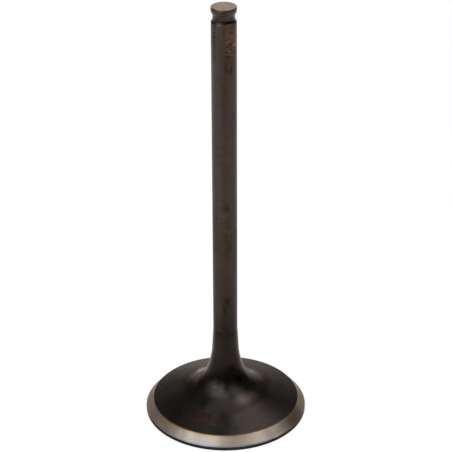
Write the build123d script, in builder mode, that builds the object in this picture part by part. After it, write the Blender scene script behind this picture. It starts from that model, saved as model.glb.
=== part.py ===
"""Engine poppet valve: one piece, from the flat of its head to its stem tip.

The valve stands on its head. The origin is the centre of the combustion face,
and +Z runs up the stem to the tip. Lengths are in millimetres, angles in degrees.
"""

from build123d import *
from math import cos, radians, sin
import os

# Head
head_diameter = 37.0
margin_height = 0.9  # straight rim between the combustion face and the seat face
rim_break = 0.15  # edge break round the combustion face
seat_angle = 49.0  # slope of the ground seat face
seat_face_width = 2.7  # measured down the seat's cone
back_angle = 15.0  # slope of the back of the head, behind the seat face

# Neck, left as forged
neck_taper = 3.0  # half angle of the neck's cone
neck_sweep_radius = 20.0  # upper, easier part of the sweep out of the neck
neck_sweep_angle = 16.0  # how far the neck sweep turns before the head sweep takes over
head_sweep_radius = 10.5  # lower part of the sweep, into the back of the head
neck_step = 0.05  # how far the neck stands proud of the ground stem
grind_end_height = 21.1  # where the stem's grinding stops

# Stem
stem_diameter = 5.5
overall_length = 99.2

# Tip and keeper groove
tip_chamfer_height = 0.3
tip_chamfer_depth = 0.11
land_length = 0.8  # full-diameter land between the tip chamfer and the groove
groove_width = 2.2  # opening at the stem's surface
groove_depth = 0.38
groove_edge_radius = 0.1  # polished edges, which spare the keepers

# Head, worked out from the sizes above
head_radius = head_diameter / 2
seat_inner_radius = head_radius - seat_face_width * cos(radians(seat_angle))
seat_inner_height = margin_height + seat_face_width * sin(radians(seat_angle))

# Stem, neck and groove
stem_radius = stem_diameter / 2
neck_radius = stem_radius + neck_step
tip_chamfer_start = overall_length - tip_chamfer_height
groove_top = tip_chamfer_start - land_length
groove_bottom = groove_top - groove_width


def straight_neck():
    """Length of the neck's straight taper, down from the end of the grinding.

    Below it the two sweeps turn the outline from the taper to the back of the head.
    The length is such that the head sweep ends on the back: it is how far the top of
    the neck lies above the back's line, less what the sweeps take up.
    """
    back, taper = radians(back_angle), radians(neck_taper)
    change = taper + radians(neck_sweep_angle)
    above = (neck_radius - seat_inner_radius) * sin(back)
    above += (grind_end_height - seat_inner_height) * cos(back)
    taken = neck_sweep_radius * (sin(back + change) - sin(back + taper))
    taken += head_sweep_radius * (1 - sin(back + change))
    return (above - taken) / cos(back + taper)


with BuildPart() as valve:
    with BuildSketch(Plane.XZ):
        with BuildLine():
            stem = Polyline(
                (neck_radius, grind_end_height),
                (stem_radius, grind_end_height),
                (stem_radius, groove_bottom),
            )
            neck = PolarLine(stem @ 0, straight_neck(), neck_taper - 90)
            neck_sweep = JernArc(neck @ 1, neck % 1, neck_sweep_radius, neck_sweep_angle)
            head_turn = 90 - neck_taper - neck_sweep_angle - back_angle
            head_sweep = JernArc(
                neck_sweep @ 1, neck_sweep % 1, head_sweep_radius, head_turn
            )
            Polyline(
                head_sweep @ 1,
                (seat_inner_radius, seat_inner_height),
                (head_radius, margin_height),
                (head_radius, 0),
                (0, 0),
            )
            groove = SagittaArc(stem @ 1, (stem_radius, groove_top), groove_depth)
            Polyline(
                groove @ 1,
                (stem_radius, tip_chamfer_start),
                (stem_radius - tip_chamfer_depth, overall_length),
                (0, overall_length),
                (0, 0),
            )
        make_face()
    revolve(axis=Axis.Z)

    circles = valve.edges().filter_by(GeomType.CIRCLE)
    fillet(circles.filter_by_position(Axis.Z, groove_bottom, groove_top), groove_edge_radius)

    circles = valve.edges().filter_by(GeomType.CIRCLE)
    chamfer(circles.filter_by_position(Axis.Z, 0, 0), rim_break)

valve.part.label = "valve"
os.makedirs("parts", exist_ok=True)
export_step(valve.part, "parts/valve.step")
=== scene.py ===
"""Engine valve standing on its head on a plain pale floor, in soft studio light.

One turned piece, worked out as a profile carried round the stem's axis, with a finish
of its own on each stretch: forged neck and back, ground stem, ground seat and so on.
Lengths are in metres and angles in radians, unless a name or a comment says otherwise.
"""
from math import cos, pi, radians, sin, sqrt, tan

import bpy
import numpy as np
from bpy.props import FloatProperty, FloatVectorProperty, IntProperty, PointerProperty
from mathutils import Matrix, Vector


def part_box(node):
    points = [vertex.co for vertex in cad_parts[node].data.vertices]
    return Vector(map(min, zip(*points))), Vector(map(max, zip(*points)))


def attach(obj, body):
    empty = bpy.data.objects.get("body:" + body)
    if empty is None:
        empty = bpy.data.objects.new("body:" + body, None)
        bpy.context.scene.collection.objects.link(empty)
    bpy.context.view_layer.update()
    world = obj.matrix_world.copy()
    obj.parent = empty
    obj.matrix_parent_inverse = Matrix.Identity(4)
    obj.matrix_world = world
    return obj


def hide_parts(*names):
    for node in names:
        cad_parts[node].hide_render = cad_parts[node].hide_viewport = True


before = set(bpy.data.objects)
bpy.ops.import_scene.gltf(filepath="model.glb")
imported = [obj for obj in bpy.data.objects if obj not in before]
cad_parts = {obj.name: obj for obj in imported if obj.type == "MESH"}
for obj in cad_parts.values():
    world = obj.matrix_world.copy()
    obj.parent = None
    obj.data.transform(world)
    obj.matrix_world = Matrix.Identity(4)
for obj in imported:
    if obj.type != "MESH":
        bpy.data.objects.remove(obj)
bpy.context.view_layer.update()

bl_info = {
    "name": "Engine valve",
    "version": (1, 0, 0),
    "blender": (4, 5, 0),
    "location": "3D View > Sidebar > Valve",
    "description": "Builds a poppet valve round its packed model, its finishes and a plain studio",
    "category": "Object",
}

VALVE_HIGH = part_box("valve")[1]
MM = 0.001

# The stretches of the profile, in order from the middle of the combustion face to the
# middle of the tip. Each has a finish of its own.
FACE, MARGIN, SEAT, FORGED, STEM, GROOVE, LAND, TIP = range(8)


# ------------------------ settings


def length(name, description, default_mm, low=0.0, high=200.0):
    """A length that the sidebar shows, given here in millimetres."""
    return FloatProperty(
        name=name, description=description, default=default_mm * MM,
        min=low * MM, max=high * MM, unit="LENGTH", subtype="DISTANCE", precision=5,
    )


def angle(name, description, degrees):
    """An angle that the sidebar shows, given here in degrees."""
    return FloatProperty(
        name=name, description=description, default=radians(degrees),
        min=0.0, max=pi / 2, unit="ROTATION", subtype="ANGLE",
    )


def colour(name, description, rgb):
    """A colour that the sidebar shows."""
    return FloatVectorProperty(
        name=name, description=description, default=rgb, size=3, min=0.0, max=1.0,
        subtype="COLOR", precision=4,
    )


def share(name, description, default):
    """A number from 0 to 1 that the sidebar shows."""
    return FloatProperty(
        name=name, description=description, default=default, min=0.0, max=1.0,
        subtype="FACTOR",
    )


class ValveShape(bpy.types.PropertyGroup):
    """The sizes of the valve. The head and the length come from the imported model."""

    head_diameter: length("Head diameter", "Across the margin", 2 * VALVE_HIGH.x / MM)
    overall_length: length("Length", "From combustion face to tip", VALVE_HIGH.z / MM)
    margin_height: length("Margin", "Straight rim between face and seat", 0.9)
    rim_break: length("Rim break", "Edge break round the combustion face", 0.15)
    seat_angle: angle("Seat angle", "Slope of the ground seat face", 49)
    seat_width: length("Seat width", "Measured down the seat's cone", 2.7)
    back_angle: angle("Back angle", "Slope of the head's back behind the seat", 15)
    neck_taper: angle("Neck taper", "Lean of the forged neck", 3)
    neck_sweep: length("Neck sweep", "Radius of the upper, easier part of the sweep", 20.0)
    neck_turn: angle("Neck turn", "How far the neck sweep turns before the head sweep", 16)
    head_sweep: length("Head sweep", "Radius of the sweep into the head's back", 10.5)
    neck_step: length("Neck step", "How far the forged neck stands out of the stem", 0.05)
    grind_end: length("Grind end", "Height at which the stem's grinding ends", 21.1)
    stem_diameter: length("Stem diameter", "Ground stem", 5.5)
    tip_chamfer_height: length("Tip chamfer height", "Along the stem", 0.3)
    tip_chamfer_depth: length("Tip chamfer depth", "Across the stem", 0.11)
    tip_flare: length("Tip flare", "How far hammering in use has spread the tip", 0.06)
    land_length: length("Land", "Straight land between chamfer and groove", 0.8)
    groove_width: length("Groove width", "Keeper groove, along the stem", 2.2)
    groove_depth: length("Groove depth", "Keeper groove, across the stem", 0.38)
    groove_edge: length("Groove edge", "Rounding of the groove's edges", 0.1)
    edge_round: length("Edge round", "Fine rounding of the turned edges", 0.04)
    run_out: length("Run-out", "Height over which the grinding runs out at the neck", 0.7)
    forging_relief: length("Forging relief", "Unevenness of the forged skin", 0.012)
    segments: IntProperty(
        name="Segments", description="Faces round the axis", default=256, min=24, max=512
    )


class ValveFinish(bpy.types.PropertyGroup):
    """The colours and the polish of the valve's stretches."""

    stem: colour("Stem", "Ground and nitrided stem", (0.0625, 0.0462, 0.0397))
    neck: colour("Neck", "Dark scale on the neck", (0.0222, 0.0170, 0.0143))
    back: colour("Back", "Scale on the back of the head", (0.0455, 0.0355, 0.0312))
    back_cool: colour("Cool patches", "Blue-grey patches in the scale", (0.0425, 0.0408, 0.0387))
    seat: colour("Seat", "Bare ground steel of the seat", (0.45, 0.383, 0.327))
    heat_line: colour("Heat line", "Straw tint at the seat's inner edge", (0.30, 0.135, 0.03))
    margin: colour("Margin", "Blackened rim", (0.0185, 0.0178, 0.0180))
    margin_side: colour("Margin's sides", "Less black, brownish", (0.036, 0.030, 0.026))
    margin_blue: colour("Margin's upper edge", "Blued by the heat", (0.021, 0.031, 0.050))
    face: colour("Face", "Combustion face", (0.075, 0.066, 0.060))
    tip: colour("Tip", "Ground end of the stem", (0.75, 0.57, 0.445))
    stem_roughness: share("Stem roughness", "Of the ground stem", 0.42)
    forged_roughness: share("Forged roughness", "Of the neck and the back", 0.28)
    seat_roughness: share("Seat roughness", "Of the ground seat", 0.32)


class StudioSettings(bpy.types.PropertyGroup):
    """The floor, the light and how strongly the room glows."""

    floor: colour("Floor", "Plain pale floor", (0.90, 0.90, 0.90))
    room: colour("Room", "Dim room round the floor", (0.08, 0.08, 0.08))
    lamp_level: FloatProperty(
        name="Lamp level", description="Scales all the lamps", default=1.0, min=0.0, max=4.0
    )


# ------------------------ profile

ROUND_POINTS = 5  # on each fine rounding; an odd number, because it is shared at its middle
SAME_PLACE = 1e-5 * MM  # points nearer to each other than this are one


def line(start, end, count):
    """Points along a straight line: start + t * (end - start), t from 0 to 1."""
    t = np.linspace(0.0, 1.0, count)[:, None]
    return np.asarray(start) * (1 - t) + np.asarray(end) * t


def arc(centre, radius, first, last, count):
    """Points on a circle: centre + radius * (cos a, sin a), a from first to last."""
    a = np.linspace(first, last, count)
    return np.asarray(centre) + radius * np.stack([np.cos(a), np.sin(a)], 1)


def rounded(before, corner, after, radius):
    """A corner of two straight lines, replaced by an arc that both lines touch.

    The arc starts radius / tan(half the angle between the lines) before the corner and
    ends as far behind it. Its centre lies on the line that halves that angle.
    """
    u = (before - corner) / np.linalg.norm(before - corner)
    v = (after - corner) / np.linalg.norm(after - corner)
    half = np.arccos(np.clip(u @ v, -1, 1)) / 2
    reach = radius / tan(half)
    centre = corner + (u + v) / np.linalg.norm(u + v) * radius / sin(half)
    first = corner + u * reach - centre
    last = corner + v * reach - centre
    a0, a1 = np.arctan2(first[1], first[0]), np.arctan2(last[1], last[0])
    a1 = a0 + (a1 - a0 + pi) % (2 * pi) - pi
    return arc(centre, radius, a0, a1, ROUND_POINTS)


def turned_corners(corners, radii, counts):
    """A chain of straight lines with rounded corners, as a list with one array per line.

    Each array holds the line's points and the first half of the round at its end; the
    round's second half opens the next array. The two ends of the chain stay sharp.
    There is a radius for each corner between the ends, and counts says how many points
    each line has between its own ends.
    """
    corners = [np.asarray(c, float) for c in corners]
    rounds = [
        rounded(a, b, c, r) if r else np.array([b])
        for a, b, c, r in zip(corners, corners[1:], corners[2:], radii)
    ]
    ends = [np.array([corners[0]]), *rounds, np.array([corners[-1]])]
    chain = []
    for here, there, count in zip(ends, ends[1:], counts):
        opening, closing = here[len(here) // 2:], there[: len(there) // 2 + 1]
        middle = line(opening[-1], closing[0], count + 2)[1:-1]
        chain.append(np.concatenate([opening, middle, closing]))
    return chain


def seat_inner_edge(s):
    """Where the seat's cone meets the back: its width down the slope from the margin."""
    return np.array([
        s.head_diameter / 2 - s.seat_width * cos(s.seat_angle),
        s.margin_height + s.seat_width * sin(s.seat_angle),
    ])


def sweeps(s):
    """The neck's top and foot, and the two arcs from there to the back of the head.

    The arcs' normals turn from the neck's to the back's, and the two meet at the neck
    turn. The neck's straight taper is as long as it takes for the head sweep to end on
    the back: how far the neck's top lies above the back's line, less what they take up.
    """
    neck_top = np.array([s.stem_diameter / 2 + s.neck_step, s.grind_end])
    change = s.neck_taper + s.neck_turn
    above = (neck_top - seat_inner_edge(s)) @ (sin(s.back_angle), cos(s.back_angle))
    taken = s.neck_sweep * (sin(s.back_angle + change) - sin(s.back_angle + s.neck_taper))
    taken += s.head_sweep * (1 - sin(s.back_angle + change))
    straight = (above - taken) / cos(s.back_angle + s.neck_taper)
    foot = neck_top + straight * np.array([sin(s.neck_taper), -cos(s.neck_taper)])
    centre = foot + s.neck_sweep * np.array([cos(s.neck_taper), sin(s.neck_taper)])
    upper = arc(centre, -s.neck_sweep, s.neck_taper, change, count=30)
    centre = upper[-1] + s.head_sweep * np.array([cos(change), sin(change)])
    lower = arc(centre, -s.head_sweep, change, pi / 2 - s.back_angle, count=62)
    return neck_top, foot, upper, lower


def keeper_groove(s):
    """The groove's round bottom and its two edges' rounds, from the lowest to the highest.

    The bottom's radius is (width^2 / 4 + depth^2) / (2 * depth), and each edge's round
    touches both the bottom and the stem.
    """
    stem, edge = s.stem_diameter / 2, s.groove_edge
    middle = s.overall_length - s.tip_chamfer_height - s.land_length - s.groove_width / 2
    radius = (s.groove_width**2 / 4 + s.groove_depth**2) / (2 * s.groove_depth)
    centre = np.array([stem - s.groove_depth + radius, middle])
    edge_rise = sqrt((radius + edge) ** 2 - (centre[0] - stem + edge) ** 2)
    edge_turn = np.arctan2(edge_rise, centre[0] - stem + edge)
    low_round = arc((stem - edge, middle - edge_rise), edge, 0.0, edge_turn, count=6)
    hollow = arc(centre, radius, pi + edge_turn, pi - edge_turn, count=22)
    high_round = arc((stem - edge, middle + edge_rise), edge, -edge_turn, 0.0, count=6)
    return low_round, hollow, high_round


def valve_profile(s):
    """The valve's outline from the middle of its face to the middle of its tip.

    Returns the points (radius, height), and for each the stretch it belongs to. Points
    stand closer where the outline bends.
    """
    rim, stem, top = s.head_diameter / 2, s.stem_diameter / 2, s.overall_length
    fine = s.edge_round
    neck_top, foot, upper, lower = sweeps(s)
    low_round, hollow, high_round = keeper_groove(s)

    face, rim_break, margin, seat, back = turned_corners(
        [(0, 0), (rim - s.rim_break, 0), (rim, s.rim_break), (rim, s.margin_height),
         seat_inner_edge(s), lower[-1]],
        radii=[fine, fine, fine, fine],
        counts=[40, 1, 5, 14, 14],
    )
    run_out = np.array([tan(s.neck_taper) * s.run_out / 2, -s.run_out / 2])
    neck, ledge, shank = turned_corners(
        [foot, neck_top + run_out, (stem, s.grind_end - run_out[1]), low_round[0]],
        radii=[s.run_out, s.run_out],
        counts=[16, 1, 66],
    )
    spread = stem + s.tip_flare
    land, chamfer, tip = turned_corners(
        [high_round[-1], (spread, top - s.tip_chamfer_height),
         (spread - s.tip_chamfer_depth, top), (0, top)],
        radii=[fine, fine],
        counts=[4, 2, 10],
    )
    stretches = [
        (FACE, face), (MARGIN, rim_break), (MARGIN, margin), (SEAT, seat), (FORGED, back),
        (FORGED, lower[::-1]), (FORGED, upper[::-1]), (FORGED, neck), (FORGED, ledge),
        (STEM, shank), (STEM, low_round), (GROOVE, hollow), (LAND, high_round), (LAND, land),
        (LAND, chamfer), (TIP, tip),
    ]
    points = np.concatenate([p for _, p in stretches])
    zones = np.concatenate([np.full(len(p), zone) for zone, p in stretches])
    # Stretches share their end points, so each point that repeats the one before goes.
    fresh = np.ones(len(points), bool)
    fresh[1:] = np.linalg.norm(np.diff(points, axis=0), axis=1) > SAME_PLACE
    return points[fresh], zones[fresh]


# ------------------------ mesh

# The forged skin's unevenness, in two layers: for each the seed, the most waves round the
# axis, the most radians along a millimetre of the outline, and its share. It fades in
# behind the seat and out where the stem begins.
RELIEF_LAYERS = ((11, 5, 1.1, 1.0), (12, 14, 2.6, 0.35))
RELIEF_COSINES = 24
RELIEF_FADE_IN, RELIEF_FADE_OUT = 1.5 * MM, 2.0 * MM


def outward(points):
    """The outline's unit normals: its direction of travel turned a quarter to the right."""
    way = np.gradient(points, axis=0)
    normal = np.stack([way[:, 1], -way[:, 0]], 1)
    return normal / np.linalg.norm(normal, axis=1)[:, None]


def ripples(around, along, seed, most_turns, most_climb):
    """A smooth unevenness round 0, mostly within 1 of it, over the grid (around, along).

    It adds up cosines of (whole number * around + wave number * along + phase), so it
    closes on itself round the axis, and divides by the square root of their number.
    """
    draw = np.random.default_rng(seed)
    turns = draw.integers(0, most_turns + 1, RELIEF_COSINES)
    climbs = draw.uniform(-most_climb, most_climb, RELIEF_COSINES)
    phases = draw.uniform(0, 2 * pi, RELIEF_COSINES)
    total = np.zeros(np.broadcast(around, along).shape)
    for turn, climb, phase in zip(turns, climbs, phases):
        total += np.cos(turn * around + climb * along + phase)
    return total / sqrt(RELIEF_COSINES)


def forged_relief(travel, forged, around, depth):
    """How far each grid point of the forged skin is pushed in along its normal.

    It is depth * (1 + tanh(ripples)) / 2, times a smooth fade t * t * (3 - 2 * t) at both
    ends of the forged stretch.
    """
    start, end = travel[forged].min(), travel[forged].max()
    fade_in = np.clip((travel - start) / RELIEF_FADE_IN, 0, 1)
    t = fade_in * np.clip((end - travel) / RELIEF_FADE_OUT, 0, 1)
    fade = np.where(forged, t * t * (3 - 2 * t), 0.0)[:, None]
    along = (travel / MM)[:, None]
    uneven = sum(
        part * ripples(around, along, seed, turns, climb)
        for seed, turns, climb, part in RELIEF_LAYERS
    )
    return depth * fade * (0.5 + 0.5 * np.tanh(uneven))


def turned_mesh(name, s):
    """The valve's skin: its outline carried once round the Z axis.

    A grid point (i, j) is ((r cos a, r sin a), z) with (r, z) the outline's point i and
    a = 2 pi j / segments. The forged skin is pushed in along its normal by its relief.
    The two ends of the outline are single points, which close the skin.
    """
    points, zones = valve_profile(s)
    travel = np.concatenate([[0], np.cumsum(np.linalg.norm(np.diff(points, axis=0), axis=1))])
    normals = outward(points)
    around = 2 * pi * np.arange(s.segments)[None, :] / s.segments
    push = -forged_relief(travel, zones == FORGED, around, s.forging_relief)

    rings = slice(1, len(points) - 1)
    radius = points[rings, 0, None] + normals[rings, 0, None] * push[rings]
    height = points[rings, 1, None] + normals[rings, 1, None] * push[rings]
    grid = np.stack([radius * np.cos(around), radius * np.sin(around), height], 2)
    count, segments = grid.shape[:2]
    poles = [[0, 0, points[0, 1]], [0, 0, points[-1, 1]]]
    places = np.concatenate([grid.reshape(-1, 3), poles])
    face_pole, tip_pole = count * segments, count * segments + 1

    here = np.arange(segments)
    there = (here + 1) % segments
    i = np.arange(count - 1)[:, None] * segments
    quads = np.stack([i + here, i + there, i + segments + there, i + segments + here], 2)
    face_fan = np.stack([np.full(segments, face_pole), there, here], 1)
    last = (count - 1) * segments
    tip_fan = np.stack([np.full(segments, tip_pole), last + here, last + there], 1)
    polygons = quads.reshape(-1, 4).tolist() + face_fan.tolist() + tip_fan.tolist()
    finishes = np.concatenate([
        np.repeat(zones[1:-2], segments), np.full(segments, FACE), np.full(segments, TIP),
    ])

    mesh = bpy.data.meshes.new(name)
    mesh.from_pydata(places.tolist(), [], polygons)
    mesh.polygons.foreach_set("material_index", finishes.astype(np.int32))
    mesh.shade_smooth()
    mesh.update()
    return mesh


# ------------------------ materials

NOISE_SPAN = (0.3, 0.7)  # nearly all of a noise's values lie between these
MOTTLE_SPAN = (0.35, 0.7)  # the noise's values between which mottled steel gets paler
RAGGEDNESS = 0.35  # how far a ragged spot's edge strays, as a share of its reach
GROUND_SPREAD = 0.88  # how strongly the shine of a ground surface spreads across its lay
QUARTER_TURN = 0.25  # the spread's way is given in whole turns


def opaque(value):
    """A colour of three numbers, with its alpha. A socket stays as it is."""
    return value if isinstance(value, bpy.types.NodeSocket) else (*value, 1.0)


def shaded(value, by):
    """A colour times a number."""
    return tuple(v * by for v in value)


class Bench:
    """A material's nodes, with short calls for those that the finishes share.

    The calls take sizes, places and depths in millimetres, apart from span and ramp, whose
    limits are in the units of the value that they are given.
    """

    def __init__(self, name):
        self.material = bpy.data.materials.new(name)
        self.material.use_nodes = True
        self.tree = self.material.node_tree
        self.tree.nodes.clear()
        self.output = self.node("OutputMaterial")
        self.place = self.node("TexCoord").outputs["Object"]
        self.x, self.y, self.height = self.node("SeparateXYZ", {"Vector": self.place}).outputs

    def node(self, kind, feeds=None, **settings):
        """A node with its settings, its sockets fed with values or with other sockets."""
        made = self.tree.nodes.new("ShaderNode" + kind)
        for key, value in settings.items():
            setattr(made, key, value)
        for key, value in (feeds or {}).items():
            if isinstance(value, bpy.types.NodeSocket):
                self.tree.links.new(value, made.inputs[key])
            else:
                made.inputs[key].default_value = value
        return made

    def finish(self, surface):
        """Closes the material with its surface shader."""
        self.tree.links.new(surface.outputs[0], self.output.inputs["Surface"])
        return self.material

    # Arithmetic.

    def calc(self, operation, first, *others):
        """The operation on first alone, or carried on from value to value."""
        if not others:
            return self.node("Math", {0: first}, operation=operation).outputs[0]
        for other in others:
            first = self.node("Math", {0: first, 1: other}, operation=operation).outputs[0]
        return first

    def plus(self, *values):
        """The values' sum."""
        return self.calc("ADD", *values)

    def times(self, *values):
        """The values' product."""
        return self.calc("MULTIPLY", *values)

    def radius(self):
        """The distance from the axis: the root of x * x + y * y."""
        squares = self.plus(self.times(self.x, self.x), self.times(self.y, self.y))
        return self.calc("SQRT", squares)

    def span(self, value, low, high, to_low=0.0, to_high=1.0, kind="SMOOTHSTEP"):
        """value carried from the span low..high to the span to_low..to_high."""
        feeds = {"Value": value, "From Min": low, "From Max": high,
                 "To Min": to_low, "To Max": to_high}
        return self.node("MapRange", feeds, interpolation_type=kind).outputs["Result"]

    def reach(self, place, low, high, to_low=0.0, to_high=1.0):
        """As span, for a place on the valve between low and high."""
        return self.span(place, low * MM, high * MM, to_low, to_high)

    def swing(self, noise, to_low=0.0, to_high=1.0, kind="SMOOTHSTEP"):
        """A noise's usual values carried to the span to_low..to_high."""
        return self.span(noise, *NOISE_SPAN, to_low, to_high, kind)

    # Patterns.

    def noise(self, size, detail=3.0, rough=0.5, stretch=(1, 1, 1), turn=(0, 0, 0), seed=0.0):
        """Soft noise whose patches are about size across, drawn out where stretch is under 1.

        The place is first turned and then scaled, so that streaks can run aslant.
        """
        turned = self.node("Mapping", {"Vector": self.place, "Rotation": turn}).outputs["Vector"]
        scaled = self.node("Mapping", {"Vector": turned, "Scale": stretch}).outputs["Vector"]
        feeds = {"Vector": scaled, "W": seed, "Scale": 1 / (size * MM),
                 "Detail": detail, "Roughness": rough}
        return self.node("TexNoise", feeds, noise_dimensions="4D").outputs["Fac"]

    def rings(self, width, seed, run=0.03, rough=0.5):
        """Noise drawn out sideways, which shows as fine rings round the turned piece."""
        return self.noise(width, detail=2.0, rough=rough, stretch=(run, run, 1), seed=seed)

    def spot(self, centre, reach, ragged=None):
        """1 at centre, falling softly to 0 on an ellipsoid with the given reaches.

        A noise given as ragged makes the edge uneven.
        """
        middle = tuple(v * MM for v in centre)
        inverse = tuple(1 / (v * MM) for v in reach)
        offset = self.node("VectorMath", {0: self.place, 1: middle}, operation="SUBTRACT")
        scaled = self.node("VectorMath", {0: offset.outputs[0], 1: inverse}, operation="MULTIPLY")
        far = self.node("VectorMath", {0: scaled.outputs[0]}, operation="LENGTH").outputs["Value"]
        if ragged:
            far = self.plus(far, self.swing(ragged, -RAGGEDNESS, RAGGEDNESS))
        return self.span(far, 1.0, 0.0)

    # Colours.

    def mix(self, amount, first, second, blend="MIX"):
        """Two colours, blended as far as amount says."""
        feeds = {"Factor": amount, 6: opaque(first), 7: opaque(second)}  # 6, 7: colour inputs
        return self.node("Mix", feeds, data_type="RGBA", blend_type=blend).outputs[2]

    def dyed(self, tone, amount, tint):
        """tone multiplied by tint, as far as amount says."""
        return self.mix(amount, tone, self.mix(1.0, tone, tint, "MULTIPLY"))

    def tinted(self, tone, spots, ragged=None):
        """tone dyed by each spot's tint. A spot is (centre, reach, tint)."""
        for centre, reach, tint in spots:
            tone = self.dyed(tone, self.spot(centre, reach, ragged), tint)
        return tone

    def scaled(self, tone, factor):
        """tone multiplied by a factor that may vary from place to place."""
        grey = self.node("CombineColor", {"Red": factor, "Green": factor, "Blue": factor})
        return self.mix(1.0, tone, grey.outputs[0], "MULTIPLY")

    def mottled(self, base, noise, dark, pale):
        """base, shaded from dark to pale times itself by a noise."""
        return self.mix(self.span(noise, *MOTTLE_SPAN), shaded(base, dark), shaded(base, pale))

    def ramp(self, value, stops):
        """Colours blended along value, given as (value, colour) stops in rising order."""
        low, high = stops[0][0], stops[-1][0]
        made = self.node("ValToRGB", {"Fac": self.span(value, low, high, kind="LINEAR")})
        elements = made.color_ramp.elements
        while len(elements) < len(stops):
            elements.new(0.5)
        for element, (at, tone) in zip(elements, stops):
            element.position = (at - low) / (high - low)
            element.color = opaque(tone)
        return made.outputs["Color"]

    # Surface.

    def bump(self, height, strength, depth, normal=None):
        """Normals that show height as relief of the given depth, on top of normal."""
        feeds = {"Height": height, "Strength": strength, "Distance": depth * MM}
        if normal:
            feeds["Normal"] = normal
        return self.node("Bump", feeds).outputs["Normal"]

    def roughness(self, noise, middle, varies):
        """Roughness that a noise varies round its middle, from the first to the second."""
        return self.swing(noise, middle + varies[0], middle + varies[1])

    def lay_round(self):
        """Sockets of a surface ground round the axis: its shine spreads across the lay."""
        tangent = self.node("Tangent", direction_type="RADIAL", axis="Z").outputs[0]
        return {"Anisotropic": GROUND_SPREAD, "Anisotropic Rotation": QUARTER_TURN,
                "Tangent": tangent}

    def edge_tint(self, tint):
        """Socket that takes this share of the shine where the surface turns away."""
        return {"Specular Tint": opaque(tint)}

    def metal(self, base, roughness, normal, **sockets):
        """Closes the finish with one metal shader."""
        feeds = {"Metallic": 1.0, "Base Color": base, "Roughness": roughness, "Normal": normal}
        return self.finish(self.node("BsdfPrincipled", {**feeds, **sockets}))


# ------------------------ wear, stains, and painted light and shade

# In each table of this section a line is the centre and the reach of a place on the valve,
# in millimetres, and what the colour is multiplied by there. The valve's front is at -Y.

# Along the stem: painted sheen, which makes its left and right sides lighter, and darker and
# browner places of its own tone. Then the shorter marks on it, one of them a painted highlight.
STEM_SIDE_SHEEN_AND_TONE = (
    ((-3.2, -1.0, 74.0), (1.9, 3.2, 46.0), (1.40, 1.40, 1.50)),
    ((-1.5, -2.6, 60.0), (1.3, 1.6, 34.0), (1.20, 1.16, 1.22)),
    ((3.1, -1.0, 68.0), (1.8, 3.0, 34.0), (1.26, 1.26, 1.30)),
    ((0.0, -3.0, 82.0), (1.5, 1.5, 12.0), (0.84, 0.80, 0.84)),
    ((-3.0, -1.4, 29.0), (2.2, 2.8, 12.0), (1.42, 1.44, 1.46)),
    ((2.9, -1.4, 28.0), (1.8, 2.8, 9.0), (1.25, 1.28, 1.30)),
    ((-1.8, -2.2, 43.0), (1.8, 1.8, 4.6), (0.92, 0.84, 0.74)),
    ((0.8, -2.8, 44.5), (1.5, 1.6, 8.5), (0.90, 0.80, 0.70)),
    ((-2.3, -1.5, 83.0), (1.5, 1.6, 12.0), (1.28, 1.25, 1.22)),
    ((-1.5, -2.3, 26.5), (1.2, 1.4, 8.5), (1.30, 1.26, 1.32)),
    ((2.5, -1.2, 44.0), (1.2, 1.8, 9.0), (0.76, 0.76, 0.76)),
    ((-1.6, -2.3, 89.5), (0.8, 1.0, 9.0), (1.20, 1.26, 1.26)),
    ((0.55, -2.7, 94.0), (0.6, 0.7, 2.2), (1.28, 1.20, 1.14)),
    ((1.3, -2.4, 87.6), (1.3, 1.2, 1.6), (0.74, 0.74, 0.76)),
    ((-2.2, -1.6, 71.0), (1.6, 1.8, 24.0), (1.14, 1.15, 1.13)),
    ((2.4, -1.3, 80.0), (1.4, 1.8, 10.0), (1.12, 1.14, 1.12)),
    ((-1.0, -2.6, 44.0), (1.1, 1.3, 9.0), (0.90, 0.92, 0.88)),
)
STEM_MARKS_AND_GLINT = (
    ((1.5, -2.3, 85.9), (0.9, 1.0, 2.3), (0.32, 0.36, 0.34)),
    ((0.6, -2.7, 87.0), (1.0, 1.0, 1.9), (0.66, 0.58, 0.58)),
    ((1.1, -2.5, 88.6), (1.4, 1.2, 1.0), (0.78, 0.68, 0.62)),
    # A painted highlight on the rounded edge under the groove, on its left.
    ((-1.0, -2.5, 95.85), (0.9, 0.7, 0.34), (2.5, 2.7, 2.8)),
    ((0.5, -2.7, 89.7), (0.4, 0.6, 0.45), (0.72, 0.66, 0.60)),
    ((-1.95, -1.95, 88.5), (0.4, 0.5, 0.5), (0.75, 0.75, 0.75)),
    ((-1.5, -2.3, 94.6), (0.22, 0.5, 1.7), (1.30, 1.30, 1.28)),
    ((-2.15, -1.75, 93.4), (0.24, 0.4, 1.9), (0.58, 0.62, 0.58)),
    ((-0.05, -2.75, 93.9), (0.36, 0.6, 2.6), (0.72, 0.70, 0.66)),
    ((0.8, -2.6, 89.0), (0.7, 0.8, 0.30), (0.50, 0.48, 0.46)),
    ((-2.05, -1.8, 79.8), (0.7, 0.7, 1.8), (1.00, 1.10, 0.92)),
    ((-2.3, -1.5, 71.7), (0.4, 0.5, 0.4), (1.70, 1.70, 1.55)),
    ((-2.2, -1.7, 39.8), (1.1, 1.2, 3.0), (1.24, 1.12, 1.00)),
    ((0.5, -2.7, 65.5), (0.8, 0.9, 3.2), (1.16, 1.06, 0.92)),
    ((0.5, -2.7, 53.2), (1.2, 1.2, 1.5), (0.58, 0.60, 0.56)),
    ((-0.2, -2.8, 51.0), (0.8, 1.0, 1.9), (1.32, 1.20, 1.00)),
    ((0.5, -2.7, 29.7), (0.8, 0.9, 1.9), (0.58, 0.60, 0.60)),
    ((0.0, -2.75, 27.6), (0.8, 0.9, 2.6), (0.58, 0.68, 0.58)),
    ((-1.2, -2.5, 27.3), (0.7, 0.9, 1.8), (1.14, 1.26, 1.14)),
    ((0.6, -2.7, 22.0), (2.6, 2.2, 1.3), (0.80, 0.78, 0.70)),
)
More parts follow.
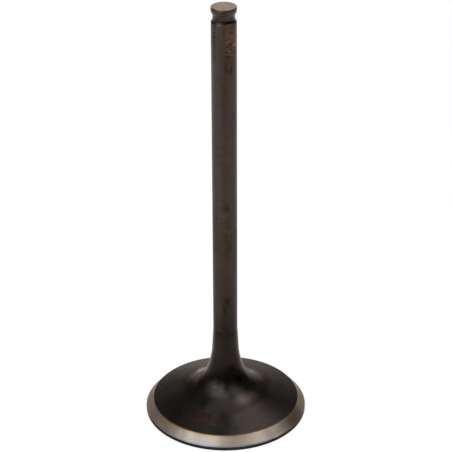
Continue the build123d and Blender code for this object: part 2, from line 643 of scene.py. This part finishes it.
# Three dark nicks on the right, one above the other.
NICKS = tuple(
    ((2.3, -1.5, height), (0.95, 1.4, 0.24), (0.20, 0.20, 0.20)) for height in (75.8, 75.1, 74.4)
)
# The front of the chamfer is worn bright, and the land below it is burnt darker.
LAND_MARKS = (
    ((-0.1, -2.7, 99.1), (2.1, 1.2, 0.45), (3.0, 2.7, 2.55)),
    ((0.2, -2.75, 98.65), (1.5, 1.2, 0.55), (0.50, 0.43, 0.39)),
)
# Darker along the groove's lower edge on the right; painted highlights on its left, at the lower
# edge and at the side.
GROOVE_DARK_AND_GLINTS = (
    ((1.1, -2.3, 96.35), (2.3, 1.6, 0.62), (0.26, 0.25, 0.27)),
    ((-1.1, -2.4, 95.95), (0.9, 0.8, 0.5), (1.5, 1.5, 1.55)),
    ((-2.2, -1.2, 96.4), (0.9, 1.4, 0.9), (1.7, 1.7, 1.7)),
)
# Where the forged skin is browner, greyer or darker. The places made lighter without much tint,
# round the neck's foot on its left and right and behind it, are painted sheen.
SKIN_PATCHES_AND_SHEEN = (
    ((-3.5, -9.2, 5.0), (1.6, 2.0, 2.0), (1.25, 0.95, 0.75)),
    ((-7.0, -11.2, 3.7), (3.6, 2.6, 2.0), (1.52, 1.02, 0.92)),
    ((-2.2, -12.2, 3.8), (3.6, 3.0, 2.0), (1.95, 1.42, 1.24)),
    ((0.9, -5.8, 8.4), (1.1, 1.2, 1.2), (1.30, 0.88, 0.85)),
    ((7.6, -4.5, 5.6), (1.8, 1.8, 1.8), (1.22, 0.98, 1.0)),
    ((9.8, -8.4, 3.8), (2.8, 2.6, 2.0), (1.22, 0.95, 0.95)),
    ((12.4, -7.0, 3.4), (2.6, 2.2, 2.0), (1.32, 0.95, 0.82)),
    ((4.2, -8.4, 5.0), (1.8, 3.2, 2.2), (0.88, 1.02, 1.06)),
    ((3.6, -13.0, 3.5), (2.2, 2.6, 2.0), (0.92, 1.02, 1.06)),
    ((-2.8, -5.3, 8.2), (1.6, 1.6, 1.6), (0.92, 1.02, 1.10)),
    ((-5.3, -7.9, 5.2), (2.2, 1.8, 1.8), (0.62, 0.60, 0.58)),
    ((-7.6, -3.6, 6.0), (2.4, 3.2, 2.2), (0.80, 0.78, 0.76)),
    ((-11.5, -8.6, 3.4), (3.0, 2.6, 2.0), (0.76, 0.74, 0.70)),
    ((2.2, -14.6, 3.3), (1.0, 1.4, 1.4), (0.70, 0.72, 0.72)),
    ((7.8, -1.8, 6.2), (2.4, 3.4, 2.2), (1.45, 1.38, 1.34)),
    ((-9.6, 2.2, 5.1), (3.4, 4.6, 2.6), (1.80, 1.68, 1.62)),
    ((9.2, 2.0, 5.2), (3.2, 4.4, 2.4), (1.75, 1.62, 1.52)),
    ((-3.9, -3.5, 9.0), (1.2, 1.3, 1.4), (1.60, 1.50, 1.48)),
)
# Painted light and shade round the neck's foot: the bright streaks on its two sides and the
# lighter places round and behind it are painted reflections, the dark places at its front are
# painted shade, and two broad places behind it are browner. These change the shine as well as the
# colour.
NECK_FOOT_SHEEN_AND_SHADE = (
    ((-8.8, 8.0, 4.5), (5.5, 6.5, 2.8), (1.01, 0.92, 0.89)),
    ((7.8, 8.0, 4.6), (5.0, 6.5, 2.8), (1.13, 1.00, 0.96)),
    ((11.8, 5.0, 3.7), (3.0, 4.5, 2.0), (1.26, 1.14, 1.10)),
    ((14.8, 4.6, 3.0), (2.8, 5.0, 1.6), (1.34, 1.27, 1.22)),
    ((-15.0, 5.0, 3.0), (2.8, 5.0, 1.6), (1.30, 1.20, 1.14)),
    ((-5.5, 7.2, 5.4), (1.8, 4.4, 1.7), (3.25, 2.98, 2.72)),
    ((-7.2, -0.9, 6.6), (2.3, 2.7, 2.0), (1.45, 1.42, 1.38)),
    ((7.8, -1.5, 6.3), (1.8, 2.4, 1.8), (1.30, 1.28, 1.25)),
    ((-4.1, -3.4, 8.6), (1.2, 1.4, 1.4), (1.35, 1.35, 1.35)),
    ((-4.5, 0.2, 10.6), (1.1, 1.8, 2.2), (1.33, 1.30, 1.26)),
    ((-4.7, -2.0, 9.4), (0.9, 1.2, 1.3), (0.66, 0.78, 0.82)),
    ((3.9, -2.3, 10.2), (0.9, 1.1, 1.8), (0.72, 0.74, 0.74)),
    ((3.0, -2.9, 11.2), (1.1, 1.1, 1.3), (0.50, 0.52, 0.52)),
    ((5.0, -2.1, 8.9), (1.3, 1.4, 1.3), (0.60, 0.64, 0.62)),
    ((5.8, 5.6, 6.1), (1.4, 4.0, 1.4), (2.20, 2.04, 1.92)),
)
# Painted shade at the foot of the neck, darkest on its front right.
NECK_FOOT_SHADE = (
    ((1.6, -3.6, 12.1), (2.6, 2.2, 2.2), (0.36, 0.33, 0.31)),
    ((3.4, -3.6, 9.9), (2.4, 2.4, 2.4), (0.22, 0.18, 0.16)),
    ((5.2, -4.4, 7.6), (2.0, 2.0, 1.8), (0.50, 0.46, 0.42)),
    ((4.3, -1.8, 10.0), (1.4, 1.7, 2.0), (0.22, 0.20, 0.18)),
)
# Painted sheen: the neck is paler on its left and on its right than in the middle.
NECK_SIDE_SHEEN = (
    ((-1.6, -2.6, 17.5), (1.6, 2.0, 4.6), (1.45, 1.30, 1.28)),
    ((2.0, -2.4, 18.5), (1.4, 2.0, 3.4), (1.30, 1.30, 1.18)),
)
# Brown heat stains on the seat, and painted light and shade across it: paler towards the front
# left, painted as a reflection of the lamps, and darker at its far left and right as painted
# shade.
# Each lies across the seat's whole width.
SEAT_STAINS_AND_SHEEN = tuple(
    ((*centre, 1.9), (*reach, 6.0), tint) for centre, reach, tint in (
        ((15.4, -8.8), (5.0, 7.5), (0.59, 0.495, 0.41)),
        ((17.6, 1.0), (5.0, 8.0), (0.66, 0.61, 0.57)),
        ((16.5, -6.0), (2.6, 2.8), (0.80, 0.78, 0.76)),
        ((-17.6, 0.4), (4.0, 7.0), (0.74, 0.70, 0.66)),
        ((-14.1, -10.6), (4.2, 4.6), (1.55, 1.38, 1.22)),
        ((-10.4, -14.3), (1.8, 1.8), (1.25, 1.27, 1.30)),
        ((-5.4, -16.8), (4.4, 3.0), (1.09, 1.12, 1.20)),
        ((1.8, -17.6), (4.6, 3.0), (1.22, 1.14, 1.08)),
        ((8.8, -15.2), (3.4, 3.4), (0.86, 0.84, 0.83)),
    )
)
# A bluer stretch of the margin's upper edge.
MARGIN_STAINS = (
    ((-3.8, -18.1, 0.9), (5.0, 3.0, 0.6), (1.1, 1.3, 1.9)),
)

# Places on the stem that its finish treats by themselves: centre and reach in millimetres.
SCRATCHED = ((1.7, -2.2, 91.1), (3.8, 2.8, 5.8))
RUBBED = ((2.3, -1.5, 91.8), (1.2, 1.4, 3.6))
SCUFFED = ((-2.0, -1.9, 93.4), (1.0, 1.0, 3.4))
STREAKED = ((0.7, -2.7, 46.0), (1.7, 1.6, 7.5))
FLECKED = ((0.2, -2.8, 48.2), (1.1, 1.4, 5.4))

# What the colour is multiplied by in those places, and in faint casts and tints elsewhere.
TAN = (1.44, 1.14, 0.78)
RUBBED_BRIGHT = (1.38, 1.40, 1.44)
GOLDEN = (1.75, 1.40, 0.90)
PURPLE_CAST = (1.02, 0.95, 1.10)
OLIVE_CAST = (0.96, 1.06, 0.90)
SEAT_BLUE = (0.45, 0.68, 0.95)

# Colours of what lies on the steel in a few narrow places.
SCORCHED = (0.092, 0.046, 0.017)
RUN_OUT_RING = (0.0165, 0.0145, 0.0110)
STRAW = (0.45, 0.30, 0.16)

# Scratches are strokes that lean two ways: each one's lean in radians, its seed, the noise
# values that it spreads out, and its share. A few lie everywhere on the stem.
STROKES = (
    (0.30, 21.0, (0.38, 0.60), 1.0),
    (-0.40, 22.0, (0.40, 0.62), 0.7),
)
STROKE_WIDTH, STROKE_RUN = 0.36, 0.18
STROKE_STRENGTH, SCUFFED_SHARE, SCRATCHED_EVERYWHERE = 0.32, 0.8, 0.12

# Where a finish changes from one look to the next, in millimetres up the valve (HEIGHT),
# to its right (SIDE) or to its back (DEPTH).
STEM_FOOT_HEIGHT = (21, 40)
STEM_WAIST_HEIGHT = (46, 56)
SCRATCHED_SIDE = (0.0, 0.20)
NECK_FOOT_HEIGHT = (7.5, 11)
RING_HEIGHT, RING_STRAY = (19.3, 20.6), 0.3
FRONT_DEPTH = (-5, -11)
SCORCHED_SIDE = (0, 10)
STRAW_SIDE = (-2, 9)
SPECKS_SIDE = (-4, -8)
SEAT_BLUE_DEPTH = (-12.8, -16.2)
MARGIN_SIDE_DEPTH = (-15, -9)
MARGIN_BLUE_HEIGHT, MARGIN_BLUE_DEPTH = (0.25, 0.75), (-11.5, -15)

# Bands along the edges of the seat, from where each starts to where it is full, in
# millimetres from that edge. The scorched band lies on the forged side of the inner one.
SCORCHED_BAND = (0.50, 0)
STRAW_BAND = (0.50, 0.12)
HEAT_LINE_BAND = (0.22, 0)
SEAT_BLUE_BAND = (0.34, 0.06)

FACE_RING = 0.32  # millimetres from one turned ring of the combustion face to the next

# How the roughness varies round its middle, and the middle where no setting gives it.
GROUND_VARIES = (-0.03, 0.05)
FORGED_VARIES = (-0.02, 0.04)
MARGIN_ROUGHNESS, LAND_ROUGHNESS, TIP_ROUGHNESS = 0.30, 0.30, 0.33
GROOVE_ROUGHNESS, FACE_ROUGHNESS = 0.34, 0.36

# How much of its shine the forged skin keeps where it turns away, by height in millimetres:
# least at the neck's foot. What it keeps is a little warm.
EDGE_SHINE = (
    (3.2, 0.88), (4.1, 0.79), (4.8, 0.69), (5.4, 0.58), (6.2, 0.48), (7.8, 0.51),
    (9.0, 0.65), (10.2, 0.76), (11.2, 0.88),
)
EDGE_WARMTH = (1.04, 1.0, 0.965)
SEAT_EDGE_SHINE = (0.62, 0.57, 0.52)
MARGIN_EDGE_SHINE = (0.55, 0.50, 0.46)


# ------------------------ finishes


def scratches(b, region, amount):
    """A factor round 1 that varies along short strokes, which cross each other."""
    run = (STROKE_RUN, STROKE_RUN, 1)
    crossed = b.plus(*(
        b.span(b.noise(STROKE_WIDTH, detail=2.0, stretch=run, turn=(0, lean, 0), seed=seed),
               *values, -part * amount, part * amount)
        for lean, seed, values, part in STROKES
    ))
    return b.plus(b.times(crossed, region), 1.0)


def stem_finish(scene):
    """Ground steel under a dark brown nitrided skin: worn, stained and scratched in places."""
    c = scene.valve_finish
    b = Bench("ground_stem")
    blotches = b.noise(5, detail=4.0, rough=0.6, stretch=(1, 1, 0.6), seed=1.0)
    fine = b.noise(0.9, rough=0.6, stretch=(1, 1, 0.45), seed=3.0)
    ragged = b.noise(1.1, detail=4.0, rough=0.6, stretch=(1, 1, 0.4), seed=13.0)
    # Painted shade: the stem is darker towards the neck, for the dimmer floor near the valve that
    # it reflects.
    up = b.reach(b.height, *STEM_FOOT_HEIGHT)
    tone = b.mix(up, shaded(c.stem, 0.60), shaded(c.stem, 1.04))
    # Painted sheen on the stem's sides, and broad places of its tone.
    tone = b.tinted(tone, STEM_SIDE_SHEEN_AND_TONE)
    # Marks on the stem, with one painted highlight under the groove.
    tone = b.tinted(tone, STEM_MARKS_AND_GLINT, ragged)
    tone = b.tinted(tone, NICKS)
    # Tan scratches on the right below the groove, rubbed bright along their edge.
    worn = b.times(b.spot(*SCRATCHED, ragged), b.reach(b.x, *SCRATCHED_SIDE))
    tone = b.dyed(tone, worn, TAN)
    tone = b.dyed(tone, b.spot(*RUBBED, ragged), RUBBED_BRIGHT)
    # Golden flecks and dark streaks in the middle of the stem.
    flecks = b.noise(0.45, detail=2.0, stretch=(1, 1, 0.4), seed=25.0)
    flecks = b.times(b.spot(*FLECKED, ragged), b.span(flecks, 0.50, 0.60))
    tone = b.dyed(tone, flecks, GOLDEN)
    streaks = b.noise(0.42, rough=0.6, stretch=(1, 1, 0.14), seed=23.0)
    streaks = b.times(b.span(streaks, 0.36, 0.64, -0.32, 0.36), b.spot(*STREAKED, ragged))
    scuffed = b.times(b.spot(*SCUFFED), SCUFFED_SHARE)
    tone = b.scaled(tone, b.times(
        b.swing(blotches, 0.88, 1.12, "LINEAR"),
        b.swing(fine, 0.91, 1.10, "LINEAR"),
        # painted shade: darker below the stem's waist, carrying on the darkening towards the neck
        b.reach(b.height, *STEM_WAIST_HEIGHT, 1.0, 1.08),
        b.plus(streaks, 1.0),
        scratches(b, b.plus(worn, scuffed, SCRATCHED_EVERYWHERE), STROKE_STRENGTH),
    ))
    # Faint purple and olive casts, as on steel that has been hot.
    cast = b.noise(3.2, detail=2.0, stretch=(1, 1, 0.5), seed=24.0)
    tone = b.dyed(tone, b.span(cast, 0.5, 0.68, 0.0, 0.7), PURPLE_CAST)
    tone = b.dyed(tone, b.span(cast, 0.48, 0.32, 0.0, 0.6), OLIVE_CAST)
    rough = b.roughness(blotches, c.stem_roughness, GROUND_VARIES)
    normal = b.bump(b.rings(0.16, seed=5.0, run=0.06), strength=0.25, depth=0.004)
    return b.metal(tone, rough, normal, **b.lay_round())


def forged_finish(scene):
    """Forging scale: darkest on the neck, brown and blue-grey patches on the head's back."""
    c = scene.valve_finish
    b = Bench("forged_scale")
    patches = b.noise(6.5, seed=2.0)
    grain = b.noise(0.5, detail=4.0, rough=0.6, seed=4.0)
    ragged = b.noise(1.6, rough=0.6, seed=9.0)
    back = b.mix(b.span(patches, 0.42, 0.62), c.back, c.back_cool)
    tone = b.mix(b.reach(b.height, *NECK_FOOT_HEIGHT), back, c.neck)
    tone = b.mix(b.swing(grain, 0.0, 0.18), tone, shaded(c.neck, 0.7))
    # Patches of the scale, and painted sheen where they are lighter round the neck's foot.
    tone = b.tinted(tone, SKIN_PATCHES_AND_SHEEN, ragged)
    # Painted shade and painted reflections round the neck's foot, and painted sheen on the neck's
    # sides.
    tone = b.tinted(tone, (*NECK_FOOT_SHADE, *NECK_FOOT_SHEEN_AND_SHADE, *NECK_SIDE_SHEEN))
    # A brown rim where the seat's heat has run into the skin, weaker behind and on the right.
    inner = seat_inner_edge(scene.valve_shape)[0]
    start, full = (inner - width * MM for width in SCORCHED_BAND)
    rim = b.times(
        b.span(b.radius(), start, full, 0.0, 0.85),
        b.times(b.reach(b.y, *FRONT_DEPTH, 0.35, 1.0), b.reach(b.x, *SCORCHED_SIDE, 1.0, 0.6)),
    )
    tone = b.mix(rim, tone, SCORCHED)
    # A darker ring where the grinding runs out.
    stray = b.noise(0.9, rough=0.6, stretch=(1, 1, 0.5), seed=11.0)
    stray = b.swing(stray, -RING_STRAY * MM, RING_STRAY * MM)
    ring = b.reach(b.plus(b.height, stray), *RING_HEIGHT)
    tone = b.mix(b.times(ring, 0.8), tone, RUN_OUT_RING)
    rough = b.roughness(grain, c.forged_roughness, FORGED_VARIES)
    normal = b.bump(b.noise(1.4, seed=8.0), strength=0.25, depth=0.03)
    fine = b.noise(0.22, detail=4.0, rough=0.6, seed=7.0)
    normal = b.bump(fine, strength=0.14, depth=0.012, normal=normal)
    stops = [(height * MM, shaded(EDGE_WARMTH, kept)) for height, kept in EDGE_SHINE]
    # The painted reflections and shade round the neck's foot tint the kept shine too.
    kept = b.tinted(b.ramp(b.height, stops), NECK_FOOT_SHEEN_AND_SHADE)
    return b.metal(tone, rough, normal, **b.edge_tint(kept))


def seat_finish(scene):
    """Bare steel, ground round and round: straw heat line inside, blue tint outside."""
    c, s = scene.valve_finish, scene.valve_shape
    b = Bench("ground_seat")
    radius, rim, inner = b.radius(), s.head_diameter / 2, seat_inner_edge(s)[0]
    rings = b.rings(0.10, seed=1.5, rough=0.6)
    tone = b.mix(b.swing(rings), shaded(c.seat, 0.86), shaded(c.seat, 1.10))
    # Heat stains, and painted light and shade across the seat.
    tone = b.tinted(tone, SEAT_STAINS_AND_SHEEN)
    # Light and dark specks on its left part.
    specks = b.span(b.noise(0.36, detail=2.0, seed=14.0), 0.40, 0.62, -0.06, 0.08)
    specks = b.times(specks, b.reach(b.x, *SPECKS_SIDE))
    tone = b.scaled(tone, b.plus(specks, 1.0))
    # Blue along the outer edge, at the front.
    start, full = (rim - width * MM for width in SEAT_BLUE_BAND)
    blue = b.times(
        b.span(radius, start, full),
        b.span(b.noise(3, seed=12.0), 0.35, 0.6, 0.5, 1.0),
        b.reach(b.y, *SEAT_BLUE_DEPTH),
    )
    tone = b.dyed(tone, blue, SEAT_BLUE)
    # Straw and then brown along the inner edge, weaker behind and on the right.
    hot = b.times(b.reach(b.x, *STRAW_SIDE, 1.0, 0.30), b.reach(b.y, *FRONT_DEPTH, 0.45, 1.0))
    for band, most, colour_there in (
        (STRAW_BAND, 0.40, STRAW), (HEAT_LINE_BAND, 0.9, c.heat_line),
    ):
        start, full = (inner + width * MM for width in band)
        heat = b.times(b.span(radius, start, full, 0.0, most), hot)
        tone = b.mix(heat, tone, colour_there)
    rough = b.roughness(rings, c.seat_roughness, GROUND_VARIES)
    normal = b.bump(rings, strength=0.30, depth=0.004)
    return b.metal(tone, rough, normal, **b.lay_round(), **b.edge_tint(SEAT_EDGE_SHINE))


def margin_finish(scene):
    """Turned rim, blackened by the heat, blue along its upper edge at the front."""
    c = scene.valve_finish
    b = Bench("blued_margin")
    tone = b.mix(b.reach(b.y, *MARGIN_SIDE_DEPTH), c.margin, c.margin_side)
    blued = b.times(b.reach(b.height, *MARGIN_BLUE_HEIGHT), b.reach(b.y, *MARGIN_BLUE_DEPTH))
    tone = b.mix(blued, tone, c.margin_blue)
    tone = b.tinted(tone, MARGIN_STAINS)
    patches = b.span(b.noise(4, seed=3.5), 0.35, 0.65, 0.0, 0.3)
    tone = b.mix(patches, tone, shaded(c.margin, 0.6))
    normal = b.bump(b.rings(0.16, seed=2.5), strength=0.3, depth=0.006)
    return b.metal(tone, MARGIN_ROUGHNESS, normal, **b.edge_tint(MARGIN_EDGE_SHINE))


def face_finish(scene):
    """Combustion face, turned in fine rings under a grey-brown skin."""
    b = Bench("turned_face")
    wave = b.calc("SINE", b.times(b.radius(), 2 * pi / (FACE_RING * MM)))
    patches = b.noise(6, detail=4.0, rough=0.55, seed=4.5)
    tone = b.mottled(scene.valve_finish.face, patches, dark=0.75, pale=1.15)
    return b.metal(tone, FACE_ROUGHNESS, b.bump(wave, strength=0.2, depth=0.006))


def groove_finish(scene):
    """Keeper groove, turned: darker at its lower edge on the right, painted highlights on its
    left.
    """
    b = Bench("keeper_groove")
    patches = b.noise(1.5, seed=5.5)
    tone = b.mottled(shaded(scene.valve_finish.stem, 0.8), patches, dark=0.8, pale=1.1)
    # Darker at the lower edge on the right, painted highlights on the left.
    tone = b.tinted(tone, GROOVE_DARK_AND_GLINTS)
    normal = b.bump(b.rings(0.12, seed=6.5), strength=0.25, depth=0.005)
    return b.metal(tone, GROOVE_ROUGHNESS, normal)


def land_finish(scene):
    """Land and chamfer above the groove: hardened, turned, a little brighter than the stem."""
    b = Bench("hardened_land")
    patches = b.noise(1.2, seed=7.5)
    tone = b.mottled(scene.valve_finish.stem, patches, dark=0.9, pale=1.25)
    tone = b.tinted(tone, LAND_MARKS)
    normal = b.bump(b.rings(0.12, seed=8.5, run=0.04), strength=0.2, depth=0.004)
    return b.metal(tone, LAND_ROUGHNESS, normal)


def tip_finish(scene):
    """Hardened end of the stem, ground flat, worn to a warm pale steel."""
    b = Bench("ground_tip")
    patches = b.noise(1.4, detail=4.0, rough=0.6, seed=9.5)
    tone = b.mottled(scene.valve_finish.tip, patches, dark=0.85, pale=1.1)
    lay = b.noise(0.09, detail=2.0, stretch=(1, 0.05, 1), turn=(0, 0, 0.5), seed=10.5)
    return b.metal(tone, TIP_ROUGHNESS, b.bump(lay, strength=0.25, depth=0.004))


FINISHES = {
    FACE: face_finish, MARGIN: margin_finish, SEAT: seat_finish, FORGED: forged_finish,
    STEM: stem_finish, GROOVE: groove_finish, LAND: land_finish, TIP: tip_finish,
}


# ------------------------ studio

WHITE, COOL, WARM = (1.0, 1.0, 1.0), (0.98, 0.99, 1.0), (1.0, 0.99, 0.97)

# Lamps stand round the valve: the way they lie from it (degrees round from behind, to
# the right, and degrees up), how far, their width and height, their glow and colour.
LAMPS = {
    "overhead": ((0, 89), 0.70, (0.62, 0.62), 0.72, WHITE),
    "front_left_box": ((-142, 42), 0.70, (0.57, 0.33), 1.87, COOL),
    "left_low_box": ((-120, 24), 0.70, (0.30, 0.16), 1.8, COOL),
    "left_edge_box": ((-98, 31), 0.70, (0.18, 0.18), 0.8, WHITE),
    "front_high_box": ((-168, 58), 0.70, (0.34, 0.18), 1.15, WHITE),
    "front_fill_box": ((172, 56), 0.70, (0.20, 0.20), 0.65, (1.0, 0.98, 0.95)),
    "front_right_box": ((138, 42), 0.70, (0.47, 0.26), 0.98, WARM),
    "right_box": ((82, 42), 0.70, (0.47, 0.22), 0.95, WARM),
    "right_high_box": ((98, 58), 0.70, (0.36, 0.22), 3.25, WARM),
    "behind_right_box": ((26, 58), 0.70, (0.34, 0.20), 1.83, WARM),
    "behind_left_box": ((-22, 62), 0.70, (0.34, 0.20), 0.2, (1.0, 0.98, 0.96)),
    "back_high_box": ((0, 26), 0.80, (0.80, 0.16), 0.40, WHITE),
    "back_box": ((0, 12), 0.80, (0.40, 0.20), 0.55, WHITE),
    "back_low_left_box": ((-6, 4), 0.80, (0.16, 0.08), 1.1, WHITE),
    "back_low_right_box": ((6, 4), 0.80, (0.16, 0.08), 0.4, WHITE),
    "left_panel": ((-65, 38), 0.80, (1.00, 0.60), 0.09, WHITE),
}
GLOW_TO_WATTS = pi  # a flat lamp of area A that glows with strength 1 gives pi * A watts
AIM = Vector((0, 0, 0.02))  # the lamps point at this place on the valve's axis

# The camera's place, how far it looks down and leans, and its lens and sensor in millimetres.
CAMERA_PLACE = Vector((0.000259, -0.346894, 0.230551))
CAMERA_DOWN = 0.485598
CAMERA_ROLL = -0.0047546
CAMERA_LENS = 140.899
SENSOR = 36.0

FLOOR_RADIUS = 12.0
FLOOR_CORNERS = 96
FLOOR_DROP = 0.02 * MM  # the floor lies this far below the face, so that they don't mix
FLOOR_SEEN = (0.20, 0.20, 0.20)
FLOOR_GLOW = 0.88
SEEN_BY = ("Camera", "Glossy", "Transmission")  # rays that see the floor as it glows


def new_object(name, data):
    """A new object in the scene that holds data."""
    made = bpy.data.objects.new(name, data)
    bpy.context.scene.collection.objects.link(made)
    return made


def floor_finish(settings):
    """Plain pale floor: white where nothing shades it, also in the metal's reflections."""
    b = Bench("pale_floor")
    path = b.node("LightPath").outputs
    seen = b.calc("MAXIMUM", *(path[f"Is {kind} Ray"] for kind in SEEN_BY))
    matt = b.node("BsdfDiffuse", {"Color": b.mix(seen, settings.floor, FLOOR_SEEN)})
    glow = b.node("Emission", {"Color": (1, 1, 1, 1), "Strength": b.times(seen, FLOOR_GLOW)})
    return b.finish(b.node("AddShader", {0: matt.outputs[0], 1: glow.outputs[0]}))


def make_floor(settings):
    """A flat disc just under the valve: its corners are radius * (cos a, sin a)."""
    a = 2 * pi * np.arange(FLOOR_CORNERS) / FLOOR_CORNERS
    drop = np.full(FLOOR_CORNERS, -FLOOR_DROP)
    places = np.stack([FLOOR_RADIUS * np.cos(a), FLOOR_RADIUS * np.sin(a), drop], 1)
    mesh = bpy.data.meshes.new("floor")
    mesh.from_pydata(places.tolist(), [], [list(range(FLOOR_CORNERS))])
    mesh.materials.append(floor_finish(settings))
    floor = new_object("floor", mesh)


def make_lamp(name, way, distance, size, glow, tint, level):
    """A flat lamp that the camera doesn't see, turned towards the valve's foot."""
    round_angle, up = radians(way[0]), radians(way[1])
    towards = Vector((sin(round_angle) * cos(up), cos(round_angle) * cos(up), sin(up)))
    lamp = bpy.data.lights.new(name, "AREA")
    lamp.shape = "RECTANGLE"
    lamp.size, lamp.size_y = size
    lamp.energy = GLOW_TO_WATTS * glow * level * size[0] * size[1]
    lamp.color = tint
    made = new_object(name, lamp)
    made.location = AIM + towards * distance
    made.rotation_mode = "QUATERNION"
    made.rotation_quaternion = (-towards).to_track_quat("-Z", "Y")
    made.visible_camera = False


def make_camera():
    """The scene's camera, in front of the valve and above it."""
    data = bpy.data.cameras.new("camera")
    data.sensor_width, data.lens = SENSOR, CAMERA_LENS
    data.clip_start, data.clip_end = 0.01, 50.0
    camera = new_object("camera", data)
    turn = Matrix.Rotation(pi / 2 - CAMERA_DOWN, 4, "X") @ Matrix.Rotation(CAMERA_ROLL, 4, "Z")
    camera.matrix_world = Matrix.Translation(CAMERA_PLACE) @ turn
    bpy.context.scene.camera = camera


def make_room(settings):
    """The dim glow of the room, and colours shown as they are."""
    scene = bpy.context.scene
    world = scene.world or bpy.data.worlds.new("room")
    scene.world = world
    world.use_nodes = True
    background = world.node_tree.nodes["Background"]
    background.inputs["Color"].default_value = opaque(settings.room)
    background.inputs["Strength"].default_value = 1.0
    scene.view_settings.view_transform = "Standard"


# ------------------------ operators and panel


class VALVE_OT_make_body(bpy.types.Operator):
    """Build the valve's one turned piece, with its finishes"""

    bl_idname = "valve.make_body"
    bl_label = "Valve body"

    def execute(self, context):
        mesh = turned_mesh("valve_body", context.scene.valve_shape)
        for zone in sorted(FINISHES):
            mesh.materials.append(FINISHES[zone](context.scene))
        body = new_object("valve_body", mesh)
        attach(body, "root")
        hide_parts("valve")
        return {"FINISHED"}


class VALVE_OT_make_studio(bpy.types.Operator):
    """Lay the floor, hang the lamps and set the camera"""

    bl_idname = "valve.make_studio"
    bl_label = "Studio"

    def execute(self, context):
        settings = context.scene.valve_studio
        make_floor(settings)
        for name, placing in LAMPS.items():
            make_lamp(name, *placing, settings.lamp_level)
        make_room(settings)
        make_camera()
        return {"FINISHED"}


class VALVE_PT_workshop(bpy.types.Panel):
    """Sizes, finishes and studio of the valve"""

    bl_label = "Engine valve"
    bl_space_type = "VIEW_3D"
    bl_region_type = "UI"
    bl_category = "Valve"

    def draw(self, context):
        for settings, action in (
            (("valve_shape", "valve_finish"), VALVE_OT_make_body.bl_idname),
            (("valve_studio",), VALVE_OT_make_studio.bl_idname),
        ):
            box = self.layout.box()
            box.operator(action)
            for group_name in settings:
                group = getattr(context.scene, group_name)
                for key in group.__annotations__:
                    box.prop(group, key)


GROUPS = {"valve_shape": ValveShape, "valve_finish": ValveFinish, "valve_studio": StudioSettings}
CLASSES = (*GROUPS.values(), VALVE_OT_make_body, VALVE_OT_make_studio, VALVE_PT_workshop)


def register():
    for each in CLASSES:
        bpy.utils.register_class(each)
    for name, group in GROUPS.items():
        setattr(bpy.types.Scene, name, PointerProperty(type=group))


def unregister():
    for name in GROUPS:
        delattr(bpy.types.Scene, name)
    for each in reversed(CLASSES):
        bpy.utils.unregister_class(each)


def main():
    """Make the valve and its studio."""
    register()
    bpy.ops.valve.make_body()
    bpy.ops.valve.make_studio()


if __name__ == "__main__":
    main()
